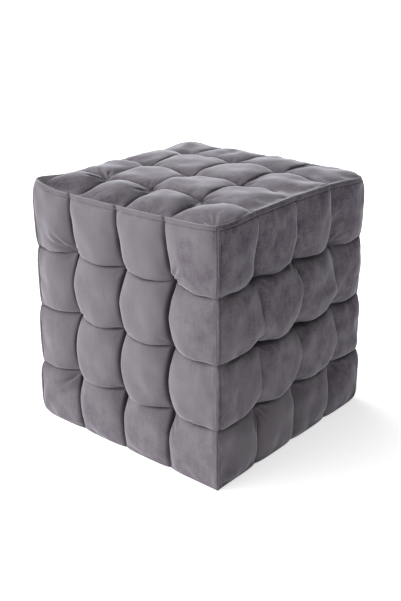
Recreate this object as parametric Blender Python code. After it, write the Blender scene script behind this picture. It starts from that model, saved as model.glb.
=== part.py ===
"""Cube pouf stool, built from the pieces that an upholsterer cuts for it.

Four quilted side panels and a quilted top panel are sewn edge to edge, and a base cloth closes the underside.
Each quilted panel is a pad: its outer face swells into four rows of four puffs between sewn channels, the channels
are pulled in deepest at the tufts where they cross, and its back is flat. Lengths are in metres, +Z is up, and the
origin is the middle of the underside.
"""

import math
import random
from collections import namedtuple

import bmesh
import bpy
from mathutils import Vector

# The stool, measured over the crowns of its puffs.
SIDE = 0.400
HEIGHT = 0.420

# The quilting: puffs to a row, and how far the cloth lies below the crowns of the puffs.
PUFFS = 4
SIDE_TUFT_DEPTH = 0.021
SIDE_CHANNEL_DEPTH = 0.0105
TOP_TUFT_DEPTH = 0.018
TOP_CHANNEL_DEPTH = 0.008

# The corner seams, a row of puffs at a time from the foot up: how far a channel droops where it reaches the seam, and
# how far the seam stands inside the side crowns, at that channel and at the bulge above it.
CornerRow = namedtuple("CornerRow", "droop notch_drop bulge_drop")
CORNER_ROWS = (
    CornerRow(0.0000, 0.0065, 0.0040),
    CornerRow(0.0050, 0.0085, 0.0065),
    CornerRow(0.0030, 0.0105, 0.0090),
    CornerRow(0.0030, 0.0115, 0.0090),
    CornerRow(0.0000, 0.0150, 0.0000),
)
FOOT_DROP = CORNER_ROWS[0].notch_drop
FOOT_NOTCH_DROP = 0.0120
TOP_CORNER_DROP = CORNER_ROWS[-1].notch_drop

# The top seam: how far inside the side crowns it runs, how much more at a channel, and how far below the top crowns.
TOP_SEAM_INSET = 0.0075
TOP_SEAM_NOTCH = 0.0015
TOP_SEAM_DROP = 0.0110

# The sewing and the stuffing are uneven: they raise some top corners, bow the top seam along each side, and shift the
# tufts, and the channels where they reach the top seam. A side's own directions are across, to the right, and up.
CORNER_RISE = {"front_left": 0.0075, "front_right": 0.0, "back_right": -0.0025, "back_left": 0.0065}
Side = namedtuple("Side", "name left_corner right_corner seam_bow seam_shift tuft_shift_across tuft_shift_up")
SIDES = (
    Side("front", "front_left", "front_right", -0.0030, -0.003, -0.002, 0.001),
    Side("right", "front_right", "back_right", 0.0065, -0.010, 0.006, 0.000),
    Side("back", "back_right", "back_left", 0.0035, 0.010, 0.000, 0.002),
    Side("left", "back_left", "front_left", 0.0020, -0.003, -0.002, 0.000),
)
TOP_TUFT_SHIFT = (-0.009, -0.006)

# Unevenness of hand tufting, at most, in each direction.
TUFT_WANDER = 0.0020
TUFT_DEPTH_CHANGE = 0.0010
CROWN_CHANGE = 0.0015

# The pads and how they meet.
PAD_THICKNESS = 0.048
SEAM_GAP = 0.0003
BASE_CLOTH_THICKNESS = 0.001
BASE_CLOTH_SIDE = 0.352
BASE_CLOTH_CORNER_RADIUS = 0.012
HEM_HEIGHT = BASE_CLOTH_THICKNESS + SEAM_GAP

# Shape of a puff: how squarely it rises from a channel and from a sewn edge, and how its channels run.
CHANNEL_POWER = 2.5
EDGE_POWER = 4.0
NOTCH_POWER = 4.0
CHANNEL_ARCH_POWER = 2.2
CHANNEL_RUN_OUT_POWER = 1.8
STEPS = 8

VELVET_COLOUR = (0.150, 0.140, 0.155, 1.0)
BASE_CLOTH_COLOUR = (0.020, 0.020, 0.022, 1.0)


def fabric(name, colour, roughness):
    """A woven cloth: no metal, with a faint sheen."""
    material = bpy.data.materials.new(name)
    material.use_nodes = True
    shader = material.node_tree.nodes["Principled BSDF"]
    shader.inputs["Base Color"].default_value = colour
    shader.inputs["Roughness"].default_value = roughness
    shader.inputs["Metallic"].default_value = 0.0
    shader.inputs["Sheen Weight"].default_value = 0.4
    return material


def blend(first, second, share):
    return first + (second - first) * share


def split(place):
    """A place across a panel, 0 to PUFFS, as the number of its puff and its share of that puff."""
    puff = min(int(place), PUFFS - 1)
    return puff, place - puff


def panel_places():
    """Places across a whole panel, crowded towards each channel, where the cloth turns sharply."""
    shares = [0.5 - 0.5 * math.cos(math.pi * step / STEPS) for step in range(STEPS)]
    return [puff + share for puff in range(PUFFS) for share in shares] + [float(PUFFS)]


def notch(share):
    """0 along the middle of a puff, rising to 1 at the channels beside it."""
    return abs(2 * share - 1) ** NOTCH_POWER


# The seams. The two panels that share a seam read it at the same places, so that their edges meet.


def corner_rise(corner, puffs_away):
    return CORNER_RISE[corner] * max(0.0, 1 - puffs_away) ** 2


def corner_seam(corner, place):
    """(inset from both side crowns, height) of a vertical corner seam."""
    row, share = split(place)
    below, above = CORNER_ROWS[row], CORNER_ROWS[row + 1]
    nearer = below if share < 0.5 else above
    inset = blend(below.bulge_drop, nearer.notch_drop, notch(share))
    height = blend(HEM_HEIGHT, HEIGHT - TOP_SEAM_DROP, place / PUFFS)
    droop = blend(below.droop, above.droop, share)
    return inset, height - droop + corner_rise(corner, PUFFS - place)


def top_seam(side, place):
    """(distance along the side, inset from its crowns, height) of the seam between a side and the top."""
    end = TOP_SEAM_INSET + TOP_SEAM_NOTCH
    if place < 0.5 or place > PUFFS - 0.5:
        end = TOP_CORNER_DROP
    inset = blend(TOP_SEAM_INSET, end, notch(split(place)[1]))
    run = SIDE / 2 - TOP_CORNER_DROP
    along = blend(-run, run, place / PUFFS) + side.seam_shift * min(1.0, place, PUFFS - place)
    bow = side.seam_bow * (1 - (2 * place / PUFFS - 1) ** 2)
    rise = corner_rise(side.left_corner, place) + corner_rise(side.right_corner, PUFFS - place)
    return along, inset, HEIGHT - TOP_SEAM_DROP + bow + rise


def foot(place):
    """(distance along the side, inset from its crowns) of the fold at the foot of a side."""
    at_corner = place < 0.5 or place > PUFFS - 0.5
    end = FOOT_DROP if at_corner else FOOT_NOTCH_DROP
    run = SIDE / 2 - FOOT_DROP
    return blend(-run, run, place / PUFFS), blend(FOOT_DROP, end, notch(split(place)[1]))


# A panel's border: four functions of place, each giving (across, up, depth below the crowns). Each of the two panels
# at a seam gives up its part of the seam gap.


def side_border(side):
    gap = SEAM_GAP / math.sqrt(2)

    def left(place):
        inset, height = corner_seam(side.left_corner, place)
        return Vector((inset + gap - SIDE / 2, height - gap * (place == PUFFS), inset))

    def right(place):
        inset, height = corner_seam(side.right_corner, place)
        return Vector((SIDE / 2 - inset - gap, height - gap * (place == PUFFS), inset))

    def bottom(place):
        along, inset = foot(place)
        return Vector((along + gap * ((place == 0) - (place == PUFFS)), HEM_HEIGHT, inset))

    def top(place):
        along, inset, height = top_seam(side, place)
        return Vector((along + gap * ((place == 0) - (place == PUFFS)), height - gap, inset))

    return {"left": left, "right": right, "bottom": bottom, "top": top}


def top_border():
    gap = SEAM_GAP / math.sqrt(2)

    def edge(side, turned):
        def point(place):
            along, inset, height = top_seam(side, place)
            trimmed = along + gap * ((place == 0) - (place == PUFFS))
            return turned(trimmed, inset + gap - SIDE / 2, HEIGHT - height)

        return point

    front, right, back, left = SIDES
    back_edge = edge(back, lambda along, out, depth: Vector((-along, -out, depth)))
    left_edge = edge(left, lambda along, out, depth: Vector((out, -along, depth)))
    return {
        "bottom": edge(front, lambda along, out, depth: Vector((along, out, depth))),
        "right": edge(right, lambda along, out, depth: Vector((-out, along, depth))),
        "top": lambda place: back_edge(PUFFS - place),
        "left": lambda place: left_edge(PUFFS - place),
    }


def tuft_grid(border, tuft_depth, tuft_shift, uneven):
    """Where the channels cross, as points by (column, row). The outermost ones lie on the border."""
    crossings = {}
    for column in range(PUFFS + 1):
        crossings[column, 0] = border["bottom"](column)
        crossings[column, PUFFS] = border["top"](column)
    for row in range(1, PUFFS):
        crossings[0, row] = border["left"](row)
        crossings[PUFFS, row] = border["right"](row)
    for column in range(1, PUFFS):
        for row in range(1, PUFFS):
            across = blend(crossings[0, row].x, crossings[PUFFS, row].x, column / PUFFS)
            up = blend(crossings[column, 0].y, crossings[column, PUFFS].y, row / PUFFS)
            across += tuft_shift[0] + uneven.uniform(-TUFT_WANDER, TUFT_WANDER)
            up += tuft_shift[1] + uneven.uniform(-TUFT_WANDER, TUFT_WANDER)
            depth = tuft_depth + uneven.uniform(-TUFT_DEPTH_CHANGE, TUFT_DEPTH_CHANGE)
            crossings[column, row] = Vector((across, up, depth))
    return crossings


def channel_point(start, end, start_is_tuft, end_is_tuft, arch, share):
    """A point of the channel from start to end. It arches out between two tufts, and runs out towards an edge."""
    point = start.lerp(end, share)
    if start_is_tuft and end_is_tuft:
        point.z -= arch * (1 - abs(2 * share - 1) ** CHANNEL_ARCH_POWER)
    elif start_is_tuft:
        point.z = blend(end.z, start.z, (1 - share) ** CHANNEL_RUN_OUT_POWER)
    else:
        point.z = blend(start.z, end.z, share**CHANNEL_RUN_OUT_POWER)
    return point


def swell(place):
    """How far a puff has risen across its width: 0 at its sides and 1 at its middle."""
    off_centre = abs(2 * split(place)[1] - 1)
    if place < 0.5 or place > PUFFS - 0.5:
        return 1 - off_centre**EDGE_POWER
    return math.sqrt(max(0.0, 1 - off_centre**CHANNEL_POWER))


def quilted_face(border, tuft_depth, channel_depth, tuft_shift, seed):
    """The outer face, as rows of points (across, up, depth), each row from left to right."""
    uneven = random.Random(seed)
    crossings = tuft_grid(border, tuft_depth, tuft_shift, uneven)
    crown_drops = {(column, row): uneven.uniform(0, CROWN_CHANGE) for column in range(PUFFS) for row in range(PUFFS)}
    crown_drops[PUFFS // 2, PUFFS // 2] = 0.0
    arch = tuft_depth - channel_depth

    def level_line(row, place):
        """Along the channel or the edge below a row of puffs."""
        if row in (0, PUFFS):
            return border["bottom" if row == 0 else "top"](place)
        column, share = split(place)
        start, end = crossings[column, row], crossings[column + 1, row]
        return channel_point(start, end, column > 0, column + 1 < PUFFS, arch, share)

    def upright_line(column, place):
        """Along the channel or the edge left of a column of puffs."""
        if column in (0, PUFFS):
            return border["left" if column == 0 else "right"](place)
        row, share = split(place)
        start, end = crossings[column, row], crossings[column, row + 1]
        return channel_point(start, end, row > 0, row + 1 < PUFFS, arch, share)

    def point(across, up):
        """A Coons patch between the four lines round a puff, swollen towards the puff's crown."""
        column, s = split(across)
        row, t = split(up)
        low = crossings[column, row].lerp(crossings[column + 1, row], s)
        high = crossings[column, row + 1].lerp(crossings[column + 1, row + 1], s)
        result = level_line(row, across).lerp(level_line(row + 1, across), t)
        result += upright_line(column, up).lerp(upright_line(column + 1, up), s)
        result -= low.lerp(high, t)
        result.z = blend(result.z, crown_drops[column, row], swell(across) * swell(up))
        return result

    return [[point(across, up) for across in panel_places()] for up in panel_places()]


def quilted_panel(name, face, back_corners, material):
    """A closed pad: the quilted face, walls along the seams and a flat back.

    back_corners is (left, bottom, right, top). The mesh has X across and Z up, and -Y is out of the stool.
    """
    last = PUFFS * STEPS
    left, bottom, right, top = back_corners
    mesh = bmesh.new()
    front = [[mesh.verts.new((point.x, point.z, point.y)) for point in row] for row in face]
    for lower, upper in zip(front, front[1:]):
        for across in range(last):
            mesh.faces.new((lower[across], lower[across + 1], upper[across + 1], upper[across]))

    def share_between(value, start, end):
        return (value - start) / (end - start)

    def back_vertex(up, across):
        """The rim of the back runs level with the rim of the face, so the walls of two neighbours face each other."""
        here = face[up][across]
        if across in (0, last):
            x = left if across == 0 else right
            z = blend(bottom, top, share_between(here.y, face[0][across].y, face[last][across].y))
        else:
            x = blend(left, right, share_between(here.x, face[up][0].x, face[up][last].x))
            z = bottom if up == 0 else top
        return mesh.verts.new((x, PAD_THICKNESS, z))

    # The rim as (up, across) steps: up the left, right along the top, down the right, left along the bottom.
    rim = [(step, 0) for step in range(last)] + [(last, step) for step in range(last)]
    rim += [(step, last) for step in range(last, 0, -1)] + [(0, step) for step in range(last, 0, -1)]
    back = [back_vertex(*step) for step in rim]
    for index, (up, across) in enumerate(rim):
        after = (index + 1) % len(rim)
        near, near_after = front[up][across], front[rim[after][0]][rim[after][1]]
        # The diagonals slope towards the middle of each wall, as they do on the neighbour's wall.
        if index % last < last // 2:
            mesh.faces.new((near, near_after, back[after]))
            mesh.faces.new((near, back[after], back[index]))
        else:
            mesh.faces.new((near, near_after, back[index]))
            mesh.faces.new((near_after, back[after], back[index]))
    mesh.faces.new(back)
    bmesh.ops.recalc_face_normals(mesh, faces=mesh.faces)
    return finished_object(name, mesh, material)


def finished_object(name, mesh, material):
    data = bpy.data.meshes.new(name)
    mesh.to_mesh(data)
    mesh.free()
    data.materials.append(material)
    data.shade_smooth()
    data.set_sharp_from_angle(angle=math.radians(50))
    result = bpy.data.objects.new(name, data)
    bpy.context.scene.collection.objects.link(result)
    return result


def pad_reach():
    """Half the width of the hollow between the pads' backs, less a pad's part of the seam gap."""
    return SIDE / 2 - PAD_THICKNESS - SEAM_GAP / math.sqrt(2)


def side_panel(turn, side, material):
    """A side, turned to face outwards from the middle of the stool."""
    reach = pad_reach()
    back_corners = (-reach, HEM_HEIGHT, reach, reach + HEIGHT - SIDE / 2)
    tuft_shift = (side.tuft_shift_across, side.tuft_shift_up)
    face = quilted_face(side_border(side), SIDE_TUFT_DEPTH, SIDE_CHANNEL_DEPTH, tuft_shift, seed=turn + 1)
    panel = quilted_panel(f"{side.name}_panel", face, back_corners, material)
    angle = turn * math.pi / 2
    panel.rotation_euler.z = angle
    panel.location = (SIDE / 2 * math.sin(angle), -SIDE / 2 * math.cos(angle), 0)
    return panel


def top_panel(material):
    reach = pad_reach()
    face = quilted_face(top_border(), TOP_TUFT_DEPTH, TOP_CHANNEL_DEPTH, TOP_TUFT_SHIFT, seed=5)
    panel = quilted_panel("top_panel", face, (-reach, -reach, reach, reach), material)
    panel.rotation_euler.x = -math.pi / 2
    panel.location.z = HEIGHT
    return panel


def base_cloth(material):
    """The cloth under the stool. It laps over the turned-in edges of the sides and lies on the floor."""
    mesh = bmesh.new()
    bmesh.ops.create_cube(mesh, size=1)
    bmesh.ops.scale(mesh, vec=(BASE_CLOTH_SIDE, BASE_CLOTH_SIDE, BASE_CLOTH_THICKNESS), verts=mesh.verts)
    bmesh.ops.translate(mesh, vec=(0, 0, BASE_CLOTH_THICKNESS / 2), verts=mesh.verts)
    upright = [edge for edge in mesh.edges if abs(edge.verts[0].co.z - edge.verts[1].co.z) > SEAM_GAP]
    bmesh.ops.bevel(mesh, geom=upright, offset=BASE_CLOTH_CORNER_RADIUS, segments=5, affect="EDGES", profile=0.5)
    return finished_object("base_cloth", mesh, material)


def main():
    for old in list(bpy.data.objects):
        bpy.data.objects.remove(old)
    velvet = fabric("velvet", VELVET_COLOUR, 0.85)
    black_cloth = fabric("base_cloth", BASE_CLOTH_COLOUR, 0.95)
    stool = bpy.data.objects.new("stool", None)
    bpy.context.scene.collection.objects.link(stool)
    pieces = [side_panel(turn, side, velvet) for turn, side in enumerate(SIDES)]
    pieces += [top_panel(velvet), base_cloth(black_cloth)]
    for piece in pieces:
        piece.parent = stool


main()
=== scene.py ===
"""Cube pouf stool in grey velvet: four tufted sides and a tufted top, sewn together over a base cloth.

Lengths are in metres, +Z is up, and the origin is the middle of the underside.
"""

import math
import random
from collections import namedtuple

import bpy
import numpy as np
from mathutils import Matrix, Vector


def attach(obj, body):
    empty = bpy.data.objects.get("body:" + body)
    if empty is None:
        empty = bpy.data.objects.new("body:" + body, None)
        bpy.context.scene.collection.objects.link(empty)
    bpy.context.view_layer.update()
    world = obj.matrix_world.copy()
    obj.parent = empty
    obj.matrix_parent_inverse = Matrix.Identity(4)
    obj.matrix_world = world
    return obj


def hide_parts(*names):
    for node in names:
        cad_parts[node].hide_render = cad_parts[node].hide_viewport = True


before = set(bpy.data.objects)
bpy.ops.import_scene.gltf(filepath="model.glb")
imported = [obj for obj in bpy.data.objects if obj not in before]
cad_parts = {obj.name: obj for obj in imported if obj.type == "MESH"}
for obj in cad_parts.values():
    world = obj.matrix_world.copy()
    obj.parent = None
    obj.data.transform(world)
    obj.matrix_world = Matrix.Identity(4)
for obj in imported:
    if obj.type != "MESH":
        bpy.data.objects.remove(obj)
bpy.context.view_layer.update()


# ----------------------------------------------------------------------------
# The side panels. Each is one cut of short-pile velvet over wadding, drawn in by hand at nine tufts, so that
# it folds along the channels between them and swells into four rows of four puffs. Its top and left edges
# are lapped over the seam allowance and stitched down.

SIDE = 0.400
HEIGHT = 0.420
PUFFS = 4
PAD_THICKNESS = 0.048
MITRE_GAP = 0.0003 / math.sqrt(2)
HEM_HEIGHT = 0.0004
BACK_HEM_HEIGHT = 0.003

# The corner seams at the foot and at each channel up to the top: how far the channel droops where it reaches
# the seam, and how far the seam stands inside the side crowns, at the channel and at the bulge above it.
CornerRow = namedtuple("CornerRow", "droop notch_drop bulge_drop")
CORNER_ROWS = (
    CornerRow(0.0000, 0.0030, 0.0035),
    CornerRow(0.0050, 0.0085, 0.0065),
    CornerRow(0.0030, 0.0105, 0.0090),
    CornerRow(0.0030, 0.0115, 0.0090),
    CornerRow(0.0000, 0.0150, 0.0000),
)

# How far the feet, the corners and the top seams of the sides stand inside the crowns, how far the top seams
# are below the top's crowns, and how far each top corner is pulled up, over how many puffs.
FOOT_DROP = {"front_left": 0.0090, "front_right": 0.0035, "back_right": 0.0070, "back_left": 0.0070}
FOOT_NOTCH_DROP = 0.0075
FOOT_EDGE_DROP = 0.0040
TOP_CORNER_DROP = CORNER_ROWS[-1].notch_drop
TOP_SEAM_INSET = 0.0075
TOP_SEAM_NOTCH = 0.0015
TOP_SEAM_DROP = 0.0110
CORNER_RISE = {"front_left": 0.0068, "front_right": 0.0, "back_right": -0.0025, "back_left": 0.0060}
CORNER_RISE_REACH = 0.8

# The four sides: how far the top seam bows up at its middle, and where the three folds reach it.
Side = namedtuple("Side", "name left_corner right_corner seam_bow seam_folds")
SIDES = (
    Side("front", "front_left", "front_right", -0.0030, (-0.102, -0.002, 0.095)),
    Side("right", "front_right", "back_right", 0.0065, (-0.108, -0.014, 0.084)),
    Side("back", "back_right", "back_left", 0.0035, (-0.086, 0.010, 0.106)),
    Side("left", "back_left", "front_left", 0.0020, (-0.099, -0.003, 0.093)),
)

# The tufts of each panel, in rows from the bottom, by how far across and up they are. Hand tufting isn't
# even, and each panel's seed draws how much its tuft depths and crowns vary.
TUFTS = {
    "front": (
        ((-0.110, 0.097), (-0.006, 0.097), (0.094, 0.096)),
        ((-0.103, 0.204), (-0.003, 0.203), (0.096, 0.203)),
        ((-0.103, 0.308), (0.002, 0.307), (0.101, 0.308)),
    ),
    "right": (
        ((-0.088, 0.095), (0.012, 0.097), (0.116, 0.095)),
        ((-0.091, 0.201), (0.010, 0.198), (0.113, 0.201)),
        ((-0.094, 0.308), (0.003, 0.310), (0.099, 0.308)),
    ),
    "back": (
        ((-0.097, 0.099), (0.002, 0.097), (0.097, 0.098)),
        ((-0.099, 0.203), (-0.001, 0.205), (0.100, 0.202)),
        ((-0.101, 0.309), (0.001, 0.306), (0.098, 0.308)),
    ),
    "left": (
        ((-0.101, 0.098), (-0.004, 0.096), (0.096, 0.099)),
        ((-0.098, 0.202), (-0.002, 0.204), (0.097, 0.201)),
        ((-0.103, 0.307), (0.001, 0.309), (0.096, 0.307)),
    ),
    "top": (
        ((-0.117, -0.096), (-0.021, -0.095), (0.082, -0.097)),
        ((-0.119, 0.004), (-0.018, -0.002), (0.079, 0.004)),
        ((-0.120, 0.109), (-0.022, 0.110), (0.078, 0.109)),
    ),
}
TUFTING_SEEDS = {"front": 1, "right": 2, "back": 3, "left": 4, "top": 5}
TUFT_DEPTH_CHANGE = 0.0010
CROWN_CHANGE = 0.0015

# A pleated channel: its depth below the crowns midway between two tufts, how level it stays from there, the
# depth of its pleat, how far it bows and how far the cloth laps over it, both up or to the right, and how the
# puffs rise on its lapping side and on its lapped side.
Rise = namedtuple("Rise", "power root")
Channel = namedtuple("Channel", "depth arch_power pleat bow lap lapping lapped")
Quilting = namedtuple("Quilting", "tuft_depth level upright")
SIDE_QUILTING = {
    "front": Quilting(0.026, Channel(0.0065, 1.7, 0.0026, -0.0020, -0.0014, Rise(5.0, 0.5), Rise(2.0, 1.0)),
                      Channel(0.0150, 1.7, 0.0080, -0.0008, -0.0016, Rise(2.5, 0.5), Rise(2.2, 0.66))),
    "right": Quilting(0.021, Channel(0.0110, 1.7, 0.0050, -0.0020, -0.0016, Rise(2.6, 0.5), Rise(2.0, 0.8)),
                      Channel(0.0040, 3.0, 0.0002, 0.0010, 0.0006, Rise(2.2, 0.9), Rise(1.8, 1.0))),
    "back": Quilting(0.021, Channel(0.0095, 1.7, 0.0040, -0.0020, -0.0016, Rise(3.0, 0.5), Rise(2.0, 0.8)),
                     Channel(0.0120, 1.7, 0.0040, -0.0010, -0.0016, Rise(2.5, 0.5), Rise(2.2, 0.7))),
    "left": Quilting(0.021, Channel(0.0090, 1.7, 0.0040, -0.0020, -0.0016, Rise(3.0, 0.5), Rise(2.0, 0.8)),
                     Channel(0.0125, 1.7, 0.0040, 0.0015, 0.0016, Rise(2.5, 0.5), Rise(2.2, 0.7))),
}

# How squarely the puffs rise from a side's left, right, bottom and top edges.
SIDE_EDGE_POWERS = (2.6, 2.2, 3.4, 3.0)

# How sharply a channel notches a seam, how far below their height the crowns are before the cloth settles,
# how a channel runs out to an edge, how many times more it bows there, and how a tuft draws in its puffs.
NOTCH_POWER = 4.0
UNSETTLED_DROP = 0.0030
CHANNEL_RUN_OUT_POWER = 1.6
BORDER_BOW = 1.6
TUFT_PINCHES = (0.9, 2.0)
LEVEL_PINCH = 0.5
TUFT_PINCH_POWER = 1.6

# The pleats and the laps beside them, and how wide and how strong the painted shade in a fold is.
PLEAT_WIDTH = 0.0024
PLEAT_LEAN = -0.5
PLEAT_AT_SEAM = 0.08
LAP_REACH = 0.004
FOLD_SHADE_LEAN = 0.0022
UPRIGHT_SHADE_WIDTH = 0.0042
LEVEL_SHADE_WIDTH = 0.0026
TUFT_SHADE_WIDTH = 0.0065
SHADED_PLEAT = 0.0036
SHADE_AT_SEAM = 0.75

# The mesh: steps to a puff, how much closer they stand beside a channel or a seam, and how far that reaches.
STEPS = 64
CROWDING = 3.5
CHANNEL_REACH = 0.035
SEAM_REACH = 0.090


def blend(first, second, share):
    return first + (second - first) * share


def ease(value):
    """0 below 0 and 1 above 1, with a smooth rise between them."""
    held = np.clip(value, 0, 1)
    return held * held * (3 - 2 * held)


def bell(value, width=1.0):
    """1 at 0, falling away to 0 on both sides."""
    return np.exp(-((value / width) ** 2))


def split(place):
    """Places across a panel, 0 to PUFFS, as the numbers of their puffs and their shares of them."""
    puff = np.minimum(place.astype(int), PUFFS - 1)
    return puff, place - puff


def puff_shares(start_reach, end_reach):
    """Shares of a puff from 0 to 1, crowded towards its two ends."""
    fine = np.linspace(0, 1, 2001)
    density = 1 + CROWDING * (bell(fine, start_reach) + bell(1 - fine, end_reach))
    run = np.concatenate([[0], np.cumsum((density[1:] + density[:-1]) / 2)])
    return np.interp(np.linspace(0, run[-1], STEPS + 1), run, fine)


def panel_places():
    places = [0.0]
    for puff in range(PUFFS):
        start_reach = SEAM_REACH if puff == 0 else CHANNEL_REACH
        end_reach = SEAM_REACH if puff == PUFFS - 1 else CHANNEL_REACH
        places.extend(puff + puff_shares(start_reach, end_reach)[1:])
    return np.array(places)


PLACES = panel_places()
LAST = len(PLACES) - 1


def notch(share):
    """0 along the middle of a puff, rising to 1 at the channels beside it."""
    return np.abs(2 * share - 1) ** NOTCH_POWER


def corner_rise(corner, puffs_away):
    return CORNER_RISE[corner] * ease(1 - puffs_away / CORNER_RISE_REACH)


def corner_seam(corner, place):
    """(inset from both side crowns, height) of a vertical corner seam."""
    droop, notch_drop, bulge_drop = np.array(CORNER_ROWS).T
    notch_drop[0] = FOOT_DROP[corner]
    row, share = split(place)
    nearer = np.where(share < 0.5, row, row + 1)
    inset = blend(bulge_drop[row], notch_drop[nearer], notch(share))
    height = blend(HEM_HEIGHT, HEIGHT - TOP_SEAM_DROP, place / PUFFS)
    return inset, height - blend(droop[row], droop[row + 1], share) + corner_rise(corner, PUFFS - place)


def at_border(place):
    return (place < 0.5) | (place > PUFFS - 0.5)


def top_seam(side, place):
    """(distance along the side, inset from its crowns, height) of the seam between a side and the top."""
    end = np.where(at_border(place), TOP_CORNER_DROP, TOP_SEAM_INSET + TOP_SEAM_NOTCH)
    inset = blend(TOP_SEAM_INSET, end, notch(split(place)[1]))
    run = SIDE / 2 - TOP_CORNER_DROP
    along = np.interp(place, range(PUFFS + 1), (-run, *side.seam_folds, run))
    bow = side.seam_bow * (1 - (2 * place / PUFFS - 1) ** 2)
    rise = corner_rise(side.left_corner, place) + corner_rise(side.right_corner, PUFFS - place)
    return along, inset, HEIGHT - TOP_SEAM_DROP + bow + rise


def foot(side, place):
    """(distance along the side, inset from its crowns) of the fold at the foot of a side."""
    left, right = FOOT_DROP[side.left_corner], FOOT_DROP[side.right_corner]
    end = np.where(place < 0.5, left, np.where(place > PUFFS - 0.5, right, FOOT_NOTCH_DROP))
    along = blend(left - SIDE / 2, SIDE / 2 - right, place / PUFFS)
    return along, blend(FOOT_EDGE_DROP, end, notch(split(place)[1]))


def points(across, up, depth):
    return np.stack(np.broadcast_arrays(across, up, depth), axis=-1).astype(float)


def end_gap(place):
    """What a seam loses at its two ends, so that the panels meeting at a corner stand clear of each other."""
    return MITRE_GAP * ((place == 0).astype(float) - (place == PUFFS))


def side_border(side):
    """A side's four edges, each as a function from places to points (across, up, depth below the crowns)."""

    def left(place):
        inset, height = corner_seam(side.left_corner, place)
        return points(inset + MITRE_GAP - SIDE / 2, height - MITRE_GAP * (place == PUFFS), inset)

    def right(place):
        inset, height = corner_seam(side.right_corner, place)
        return points(SIDE / 2 - inset - MITRE_GAP, height - MITRE_GAP * (place == PUFFS), inset)

    def bottom(place):
        along, inset = foot(side, place)
        return points(along + end_gap(place), HEM_HEIGHT, inset)

    def top(place):
        along, inset, height = top_seam(side, place)
        return points(along + end_gap(place), height - MITRE_GAP, inset)

    return {"left": left, "right": right, "bottom": bottom, "top": top}


def tuft_grid(border, tufts, tuft_depth, uneven):
    """Where the channels cross, as points by [row, column]. The outermost ones lie on the border."""
    whole = np.arange(PUFFS + 1.0)
    crossings = np.zeros((PUFFS + 1, PUFFS + 1, 3))
    crossings[0], crossings[PUFFS] = border["bottom"](whole), border["top"](whole)
    crossings[:, 0], crossings[:, PUFFS] = border["left"](whole), border["right"](whole)
    for row, places in enumerate(tufts, start=1):
        for column, (across, up) in enumerate(places, start=1):
            depth = tuft_depth + uneven.uniform(-TUFT_DEPTH_CHANGE, TUFT_DEPTH_CHANGE)
            crossings[row, column] = across, up, depth
    return crossings


def channel(knots, tuft_depth, shape, sideways):
    """The line through a row of knots. It arches out between two tufts, and runs out towards an edge.

    It bows between its knots along the axis sideways.
    """
    puff, share = split(PLACES)
    start, end = knots[puff], knots[puff + 1]
    line = blend(start, end, share[:, None])
    line[:, sideways] += shape.bow * np.sin(np.pi * share) * np.where(at_border(PLACES), BORDER_BOW, 1.0)
    between = line[:, 2] - (tuft_depth - shape.depth) * (1 - np.abs(2 * share - 1) ** shape.arch_power)
    first = blend(start[:, 2], end[:, 2], share**CHANNEL_RUN_OUT_POWER)
    last = blend(end[:, 2], start[:, 2], (1 - share) ** CHANNEL_RUN_OUT_POWER)
    line[:, 2] = np.where(puff == 0, first, np.where(puff == PUFFS - 1, last, between))
    return line


def fullness(line, edge_powers):
    """For each place: how full its puff is there, how far off its centre, and the pinch of its tuft."""
    off_centre = np.abs(2 * split(PLACES)[1] - 1)
    at_start = split(PLACES)[1] < 0.5
    start, end = (line.lapping, line.lapped) if line.lap < 0 else (line.lapped, line.lapping)
    power, root = (np.where(at_start, *values) for values in zip(start, end))
    edge_power = np.where(at_start, *edge_powers)
    full = np.where(at_border(PLACES), 1 - off_centre**edge_power, (1 - off_centre**power) ** root)
    return full, off_centre, np.where(at_start == (line.lap < 0), *TUFT_PINCHES)


def channel_distance():
    """How far each place is from its nearest channel, in metres. The two edges aren't channels."""
    nearest = np.clip(np.round(PLACES), 1, PUFFS - 1)
    return (PLACES - nearest) * SIDE / PUFFS


def lapped_over(away, lap):
    """How far the cloth beside a channel is carried over it, on the side from which the pleat laps."""
    return lap * np.where(away * lap < 0, np.abs(away) / LAP_REACH * np.exp(1 - np.abs(away) / LAP_REACH), 0)


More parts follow.
